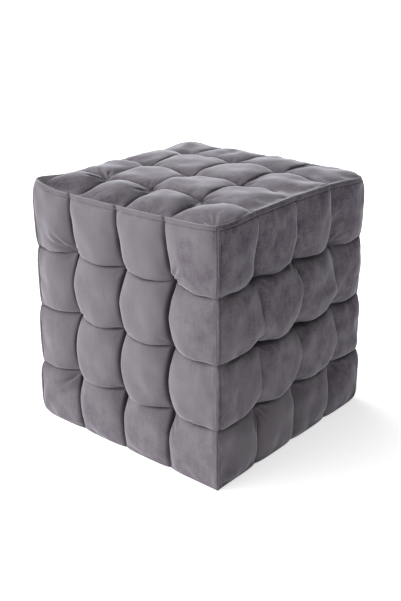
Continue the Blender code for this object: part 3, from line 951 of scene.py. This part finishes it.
# The top's fold is painted shade, and its brushed mask partly the nap's brushing and partly painted shade
# behind the front lip.
marks = {"fold": fold, "brushed": nap_and_painted_shade_marks(TOP_NAP_AND_PAINTED_SHADE, NAP_AND_PAINTED_SHADE_STROKES["top"]), "rubbed": np.zeros_like(fold)}
finished_panel("top_velvet", "top_panel", face, marks, TOP_BACK, placing, len(SIDES))


# ----------------------------------------------------------------------------
# The top stitching: polyester thread a shade lighter than the velvet, in a line along each lapped edge.

STITCH_PITCH = 0.0040
STITCH_LENGTH = 0.0030
THREAD_RADIUS = 0.00032
STITCH_RISE = 0.0004
BOW_STEPS, ROUND_STEPS = 4, 6
DARK_THREAD = (0.090, 0.082, 0.095, 1)
LIGHT_THREAD = (0.180, 0.164, 0.188, 1)


def stitching_tree():
    """Stitches laid end to end along lines of edges, bowed out of the cloth by the attribute outward."""
    tree = bpy.data.node_groups.new("top_stitching", "GeometryNodeTree")
    inputs = {"Line": "Geometry", "Pitch": "Float", "Length": "Float", "Radius": "Float", "Rise": "Float",
              "Thread": "Material"}
    add_sockets(tree, inputs, {"Stitches": "Geometry"})
    given = tree.nodes.new("NodeGroupInput").outputs

    def made(kind, output, **values):
        return new_node(tree, kind, **values).outputs[output]

    line = made("GeometryNodeMeshToCurve", "Curve", Mesh=given["Line"])
    spaced = made("GeometryNodeResampleCurve", "Curve", mode="LENGTH", Curve=line, Length=given["Pitch"])
    tangent = made("GeometryNodeInputTangent", "Tangent")
    out_of_cloth = made("GeometryNodeInputNamedAttribute", "Attribute", data_type="FLOAT_VECTOR",
                        Name="outward")
    along = made("FunctionNodeAlignRotationToVector", "Rotation", axis="X", Vector=tangent)
    facing = made("FunctionNodeAlignRotationToVector", "Rotation", axis="Z", pivot_axis="X", Rotation=along,
                  Vector=out_of_cloth)

    half, back_half = (calculate(tree, "MULTIPLY", given["Length"], share) for share in (0.5, -0.5))
    start = made("ShaderNodeCombineXYZ", "Vector", X=back_half)
    middle = made("ShaderNodeCombineXYZ", "Vector", Z=given["Rise"])
    end = made("ShaderNodeCombineXYZ", "Vector", X=half)
    bow = made("GeometryNodeCurveQuadraticBezier", "Curve", Resolution=BOW_STEPS, Start=start, Middle=middle,
               End=end)
    thread = made("GeometryNodeCurvePrimitiveCircle", "Curve", Resolution=ROUND_STEPS, Radius=given["Radius"])
    stitch = made("GeometryNodeCurveToMesh", "Mesh", Curve=bow, Profile_Curve=thread, Fill_Caps=True)

    laid = made("GeometryNodeInstanceOnPoints", "Instances", Points=spaced, Instance=stitch, Rotation=facing)
    realized = made("GeometryNodeRealizeInstances", "Geometry", Geometry=laid)
    finished = made("GeometryNodeSetMaterial", "Geometry", Geometry=realized, Material=given["Thread"])
    new_node(tree, "NodeGroupOutput", Stitches=finished)
    return tree


def two_shades(tree, share, dark, light):
    shades = new_node(tree, "ShaderNodeValToRGB", Fac=share)
    for element, colour in zip(shades.color_ramp.elements, (dark, light)):
        element.color = colour
    return shades.outputs["Color"]


def thread_material():
    material, tree, shader = new_material("polyester_thread", Roughness=0.55)
    place = new_node(tree, "ShaderNodeTexCoord").outputs["Object"]
    twist = new_node(tree, "ShaderNodeTexNoise", Vector=place, Scale=900, Detail=1)
    colour = two_shades(tree, twist.outputs["Fac"], DARK_THREAD, LIGHT_THREAD)
    tree.links.new(colour, shader.inputs["Base Color"])
    return material


def made_with(tree, name, source, values):
    """The plain mesh that a Geometry Nodes tree makes from an object, which it replaces."""
    modifier = source.modifiers.new("nodes", "NODES")
    modifier.node_group = tree
    for item in tree.interface.items_tree:
        if item.in_out == "INPUT" and item.name in values:
            modifier[item.identifier] = values[item.name]
    evaluated = source.evaluated_get(bpy.context.evaluated_depsgraph_get())
    data = bpy.data.meshes.new_from_object(evaluated)
    data.name = name
    bpy.data.objects.remove(source)
    return placed_object(name, data)


line_points = np.concatenate([line for line, out in seam_lines])
line_outs = np.concatenate([out for line, out in seam_lines])
line_edges = []
first = 0
for line, out in seam_lines:
    line_edges += [(first + step, first + step + 1) for step in range(len(line) - 1)]
    first += len(line)
line_data = bpy.data.meshes.new("seam_lines")
line_data.from_pydata(line_points.tolist(), line_edges, [])
line_data.attributes.new("outward", "FLOAT_VECTOR", "POINT").data.foreach_set("vector", line_outs.ravel())
stitches = made_with(stitching_tree(), "top_stitches", placed_object("seam_lines", line_data), {
    "Pitch": STITCH_PITCH, "Length": STITCH_LENGTH, "Radius": THREAD_RADIUS, "Rise": STITCH_RISE,
    "Thread": thread_material(),
})
stitches.data.shade_smooth()
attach(stitches, "root")


# ----------------------------------------------------------------------------
# The base cloth: matt black woven cloth that closes the underside. Its edges are turned in and lie on the
# floor, and the field between them stands a little higher.

CLOTH_SIDE = 0.352
CLOTH_CORNER_RADIUS = 0.012
CLOTH_THICKNESS = 0.0006
HEM_WIDTH = 0.012
HEM_SLOPE = 0.004
FIELD_RISE = 0.0003
CLOTH_LIFT = 0.0001
CLOTH_STEPS = 48
SHARP_HEM = math.radians(50)
DARK_WEAVE = (0.010, 0.010, 0.011, 1)
LIGHT_WEAVE = (0.032, 0.031, 0.034, 1)


def base_cloth_material():
    material, tree, shader = new_material("black_base_cloth", Roughness=0.95, Specular_IOR_Level=0.2)
    place = new_node(tree, "ShaderNodeTexCoord").outputs["Object"]
    threads = []
    for direction in ("X", "Y"):
        wave = new_node(tree, "ShaderNodeTexWave", bands_direction=direction, Vector=place, Scale=180,
                        Distortion=0.4)
        threads.append(wave.outputs["Fac"])
    weave = calculate(tree, "MULTIPLY", *threads)
    bump = new_node(tree, "ShaderNodeBump", Strength=0.5, Distance=0.0003, Height=weave)
    tree.links.new(two_shades(tree, weave, DARK_WEAVE, LIGHT_WEAVE), shader.inputs["Base Color"])
    tree.links.new(bump.outputs["Normal"], shader.inputs["Normal"])
    return material


def woven_mesh():
    """A closed sheet: its underside, the same lifted by its thickness, and the edge round them."""
    steps = np.linspace(-CLOTH_SIDE / 2, CLOTH_SIDE / 2, CLOTH_STEPS + 1)
    places = np.stack(np.meshgrid(steps, steps), axis=-1)
    inner = CLOTH_SIDE / 2 - CLOTH_CORNER_RADIUS
    past = np.maximum(np.abs(places) - inner, 0)
    rounding = past.max(axis=-1) / np.maximum(np.linalg.norm(past, axis=-1), TINY)
    places = np.sign(places) * (np.minimum(np.abs(places), inner) + past * rounding[..., None])
    from_edge = CLOTH_SIDE / 2 - np.abs(places).max(axis=-1)
    height = CLOTH_LIFT + FIELD_RISE * ease((from_edge - HEM_WIDTH) / HEM_SLOPE)
    under = np.concatenate([places, height[..., None]], axis=-1).reshape(-1, 3)
    grid = np.arange(len(under)).reshape(height.shape)
    rim = np.concatenate([grid[0, :-1], grid[:-1, -1], grid[-1, :0:-1], grid[:0:-1, 0]])
    onwards = np.roll(rim, -1)
    edge = np.stack([rim, onwards, onwards + len(under), rim + len(under)], axis=-1)
    quads = np.concatenate([grid_quads(grid)[:, ::-1], grid_quads(grid) + len(under), edge])
    data = bpy.data.meshes.new("base_cloth_woven")
    data.from_pydata(np.concatenate([under, under + (0, 0, CLOTH_THICKNESS)]).tolist(), [], quads.tolist())
    return data


cloth_data = woven_mesh()
cloth_data.shade_smooth()
cloth_data.set_sharp_from_angle(angle=SHARP_HEM)
cloth_data.materials.append(base_cloth_material())
base_cloth = placed_object("base_cloth_woven", cloth_data)
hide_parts("base_cloth")
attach(base_cloth, "root")


# ----------------------------------------------------------------------------
# The studio: a plain pale floor, softly lit from below as a photographer's light table is, and a dim room
# with one wide soft light in front on the left and another behind.

FLOOR_REACH = 30.0
FLOOR_HEIGHT = -0.0002
FLOOR_GLOW = 0.62
ROOM_LEVEL = 0.14
SoftLight = namedtuple("SoftLight", "direction widest level")
SOFT_LIGHTS = (SoftLight((-0.85, -0.50, 0.14), 0.10, 4.6), SoftLight((-0.55, 0.75, 0.35), 0.20, 0.3))

floor_data = bpy.data.meshes.new("floor")
ends = ((-1, -1), (1, -1), (1, 1), (-1, 1))
floor_corners = [(x * FLOOR_REACH, y * FLOOR_REACH, FLOOR_HEIGHT) for x, y in ends]
floor_data.from_pydata(floor_corners, [], [(0, 1, 2, 3)])
floor = placed_object("floor", floor_data)
floor_material = new_material("pale_floor", Base_Color=(0.75, 0.75, 0.75, 1), Roughness=0.8,
                              Emission_Color=(1, 1, 1, 1), Emission_Strength=FLOOR_GLOW)[0]
floor_data.materials.append(floor_material)

world = bpy.data.worlds.new("studio")
world.use_nodes = True
room = world.node_tree
looking = new_node(room, "ShaderNodeTexCoord")
brightness = ROOM_LEVEL
for light in SOFT_LIGHTS:
    facing = new_node(room, "ShaderNodeVectorMath", operation="DOT_PRODUCT")
    facing.inputs[1].default_value = Vector(light.direction).normalized()
    room.links.new(looking.outputs["Generated"], facing.inputs[0])
    level = new_node(room, "ShaderNodeMapRange", interpolation_type="SMOOTHSTEP", From_Min=light.widest,
                     From_Max=1.0, To_Min=0.0, To_Max=light.level, Value=facing.outputs["Value"])
    brightness = calculate(room, "ADD", level.outputs["Result"], brightness)
seen = new_node(room, "ShaderNodeLightPath")
plain = calculate(room, "MAXIMUM", seen.outputs["Is Camera Ray"], brightness)
room.links.new(plain, room.nodes["Background"].inputs["Strength"])
room.nodes["Background"].inputs["Color"].default_value = (1, 1, 1, 1)
bpy.context.scene.world = world
bpy.context.scene.view_settings.view_transform = "Standard"


# ----------------------------------------------------------------------------
# The camera, fitted to the corners, seams and tufts of the photograph. The focal length is in the pixels of a
# frame 401 wide and 601 high.

FOCAL_PIXELS = 916
FRAME_HEIGHT_PIXELS = 601
AZIMUTH, ELEVATION, ROLL = math.radians(40.37), math.radians(21.52), math.radians(-0.23)
CAMERA_DISTANCE = 1.555
CAMERA_SLIDE = (-0.0017, -0.0023)
CAMERA_TARGET = Vector((0, 0, 0.2))

away_x, away_y = math.sin(AZIMUTH) * math.cos(ELEVATION), -math.cos(AZIMUTH) * math.cos(ELEVATION)
away = Vector((away_x, away_y, math.sin(ELEVATION)))
level_right = Vector((math.cos(AZIMUTH), math.sin(AZIMUTH), 0))
level_up = away.cross(level_right)
rightwards = level_right * math.cos(ROLL) + level_up * math.sin(ROLL)
upwards = level_up * math.cos(ROLL) - level_right * math.sin(ROLL)
stand = CAMERA_TARGET + rightwards * CAMERA_SLIDE[0] + upwards * CAMERA_SLIDE[1] + away * CAMERA_DISTANCE
camera_data = bpy.data.cameras.new("camera")
camera_data.lens = FOCAL_PIXELS * camera_data.sensor_width / FRAME_HEIGHT_PIXELS
camera = placed_object("camera", camera_data)
camera.matrix_world = Matrix.Translation(stand) @ Matrix((rightwards, upwards, away)).transposed().to_4x4()
bpy.context.scene.camera = camera
